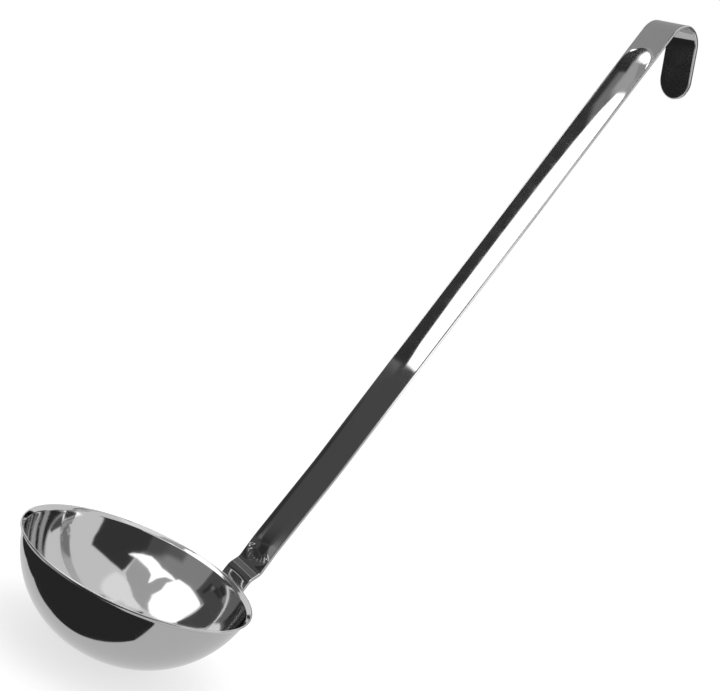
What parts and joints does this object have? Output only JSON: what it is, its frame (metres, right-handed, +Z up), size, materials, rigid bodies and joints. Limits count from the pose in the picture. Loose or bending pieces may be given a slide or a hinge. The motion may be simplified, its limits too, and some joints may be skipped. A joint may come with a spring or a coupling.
{
  "type": "soup ladle",
  "caption": "Deep round bowl with a flared lip on a long bent strip handle that ends in a hanging hook, for scooping and pouring soup.",
  "frame": {"origin": "centre of the hook's inner bend, where the ladle hangs on a rail", "axes": "+Z up with the bowl's rim level, +Y across the strip, -X towards the bowl"},
  "size_m": [0.2676, 0.12, 0.4212],
  "materials": {
    "bowl_steel": "mirror polished stainless steel with fine turning lines",
    "handle_steel": "polished stainless steel with fine lengthwise lines",
    "weld_steel": "resistance weld nuggets inside the sheets"
  },
  "bodies": {
    "root": {"bowl": "bowl_steel", "handle": "handle_steel", "spot_welds": "weld_steel"}
  },
  "joints": []
}
